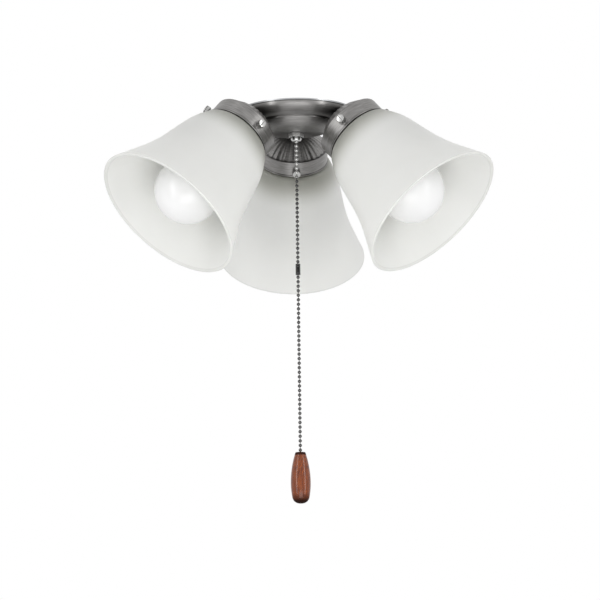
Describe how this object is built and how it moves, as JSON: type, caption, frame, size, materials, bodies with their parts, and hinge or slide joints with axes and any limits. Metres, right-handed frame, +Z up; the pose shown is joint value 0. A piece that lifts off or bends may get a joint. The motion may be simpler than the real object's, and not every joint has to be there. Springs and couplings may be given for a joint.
{
  "type": "ceiling fan light kit",
  "caption": "Ceiling fan light kit with bell shades on tilted fluted fitters, a stepped metal pan and a pull chain switch with a wooden pull.",
  "frame": {"origin": "on the kit's vertical axis, in the top face of the cover plate that meets the fan, at the root of the free end of the hollow nipple", "axes": "+Z up along the nipple; +Y towards the back arm; +X towards the side of the front right arm"},
  "size_m": [0.3486, 0.3211, 0.3693],
  "materials": {
    "nickel": "brushed dark nickel",
    "bright_nickel": "bright nickel",
    "zinc_plate": "zinc plated steel",
    "spring_steel": "bright spring wire",
    "chain_steel": "nickel plated bead chain",
    "brass": "plain brass",
    "aluminium": "plain aluminium",
    "black_plastic": "moulded black",
    "white_plastic": "moulded off-white",
    "frosted_glass": "satin frosted white glass",
    "lamp_glass": "soft white coated glass",
    "wood": "stained and lacquered hardwood"
  },
  "bodies": {
    "kit": {"pan": "nickel", "cover_plate": "zinc_plate", "cover_screws": "zinc_plate", "center_nipple": "zinc_plate", "nipple_nut": "zinc_plate", "nipple_star_washer": "zinc_plate", "arm_studs": "zinc_plate", "arm_collars": "nickel", "arm_star_washers": "zinc_plate", "arm_nuts": "zinc_plate", "switch_case": "black_plastic", "switch_cover": "black_plastic", "switch_bushing": "zinc_plate", "outlet_nut": "zinc_plate", "switch_spring": "spring_steel", "fitter_back": "nickel", "shade_back": "frosted_glass", "lamp_holder_back": "white_plastic", "screw_shell_back": "brass", "center_contact_back": "brass", "fitter_left": "nickel", "shade_left": "frosted_glass", "lamp_holder_left": "white_plastic", "screw_shell_left": "brass", "center_contact_left": "brass", "fitter_right": "nickel", "shade_right": "frosted_glass", "lamp_holder_right": "white_plastic", "screw_shell_right": "brass", "center_contact_right": "brass"},
    "plunger": {"switch_plunger": "brass", "chain_entry": "chain_steel"},
    "chain_upper": {"upper_chain": "chain_steel"},
    "chain_joiner": {"chain_connector": "chain_steel"},
    "chain_lower": {"lower_chain": "chain_steel"},
    "pull": {"wooden_pull": "wood", "pull_ferrule": "brass"},
    "lamp_back": {"lamp_globe_back": "lamp_glass", "lamp_cap_back": "aluminium"},
    "screw_back_1": {"thumb_screw_back_1": "bright_nickel"},
    "screw_back_2": {"thumb_screw_back_2": "bright_nickel"},
    "screw_back_3": {"thumb_screw_back_3": "bright_nickel"},
    "lamp_left": {"lamp_globe_left": "lamp_glass", "lamp_cap_left": "aluminium"},
    "screw_left_1": {"thumb_screw_left_1": "bright_nickel"},
    "screw_left_2": {"thumb_screw_left_2": "bright_nickel"},
    "screw_left_3": {"thumb_screw_left_3": "bright_nickel"},
    "lamp_right": {"lamp_globe_right": "lamp_glass", "lamp_cap_right": "aluminium"},
    "screw_right_1": {"thumb_screw_right_1": "bright_nickel"},
    "screw_right_2": {"thumb_screw_right_2": "bright_nickel"},
    "screw_right_3": {"thumb_screw_right_3": "bright_nickel"}
  },
  "joints": [
    {"name": "pull_slide", "type": "slide", "parent": "kit", "child": "plunger", "axis": [0, 0, -1], "range_m": [0, 0.006], "stiffness_N_per_m": 800, "springref_m": -0.003, "deforming": ["switch_spring"]},
    {"name": "chain_swing", "type": "hinge", "parent": "plunger", "child": "chain_upper", "pos_m": [0, 0, -0.02815], "axis": [0, 1, 0], "range_deg": [-25, 25]},
    {"name": "joiner_swing", "type": "hinge", "parent": "chain_upper", "child": "chain_joiner", "pos_m": [0, 0, -0.14435], "axis": [1, 0, 0], "range_deg": [-20, 20]},
    {"name": "lower_chain_swing", "type": "hinge", "parent": "chain_joiner", "child": "chain_lower", "pos_m": [0, 0, -0.15039], "axis": [0, 1, 0], "range_deg": [-20, 20]},
    {"name": "pull_swing", "type": "hinge", "parent": "chain_lower", "child": "pull", "pos_m": [0, 0, -0.31639], "axis": [1, 0, 0], "range_deg": [-15, 15]},
    {"name": "unscrew_lamp_back", "type": "hinge", "parent": "kit", "child": "lamp_back", "pos_m": [0, 0.06689, -0.03348], "axis": [0, 0.6769, -0.7361], "range_deg": [0, 900]},
    {"name": "back_out_back_1", "type": "slide", "parent": "kit", "child": "screw_back_1", "axis": [0.0349, -0.7356, -0.6765], "range_m": [0, 0.00375]},
    {"name": "back_out_back_2", "type": "slide", "parent": "kit", "child": "screw_back_2", "axis": [-0.8829, 0.3456, 0.3178], "range_m": [0, 0.00375]},
    {"name": "back_out_back_3", "type": "slide", "parent": "kit", "child": "screw_back_3", "axis": [0.848, 0.3901, 0.3587], "range_m": [0, 0.00375]},
    {"name": "unscrew_lamp_left", "type": "hinge", "parent": "kit", "child": "lamp_left", "pos_m": [-0.05793, -0.03345, -0.03348], "axis": [-0.5862, -0.3384, -0.7361], "range_deg": [0, 900]},
    {"name": "back_out_left_1", "type": "slide", "parent": "kit", "child": "screw_left_1", "axis": [0.5, -0.866, 0], "range_m": [0, 0.00375]},
    {"name": "back_out_left_2", "type": "slide", "parent": "kit", "child": "screw_left_2", "axis": [-0.8021, 0.1143, 0.5862], "range_m": [0, 0.00375]},
    {"name": "back_out_left_3", "type": "slide", "parent": "kit", "child": "screw_left_3", "axis": [0.3021, 0.7518, -0.5862], "range_m": [0, 0.00375]},
    {"name": "unscrew_lamp_right", "type": "hinge", "parent": "kit", "child": "lamp_right", "pos_m": [0.05793, -0.03345, -0.03348], "axis": [0.5862, -0.3384, -0.7361], "range_deg": [0, 900]},
    {"name": "back_out_right_1", "type": "slide", "parent": "kit", "child": "screw_right_1", "axis": [-0.3941, -0.9129, 0.1059], "range_m": [0, 0.00375]},
    {"name": "back_out_right_2", "type": "slide", "parent": "kit", "child": "screw_right_2", "axis": [-0.416, 0.654, -0.6319], "range_m": [0, 0.00375]},
    {"name": "back_out_right_3", "type": "slide", "parent": "kit", "child": "screw_right_3", "axis": [0.8101, 0.259, 0.526], "range_m": [0, 0.00375]}
  ]
}
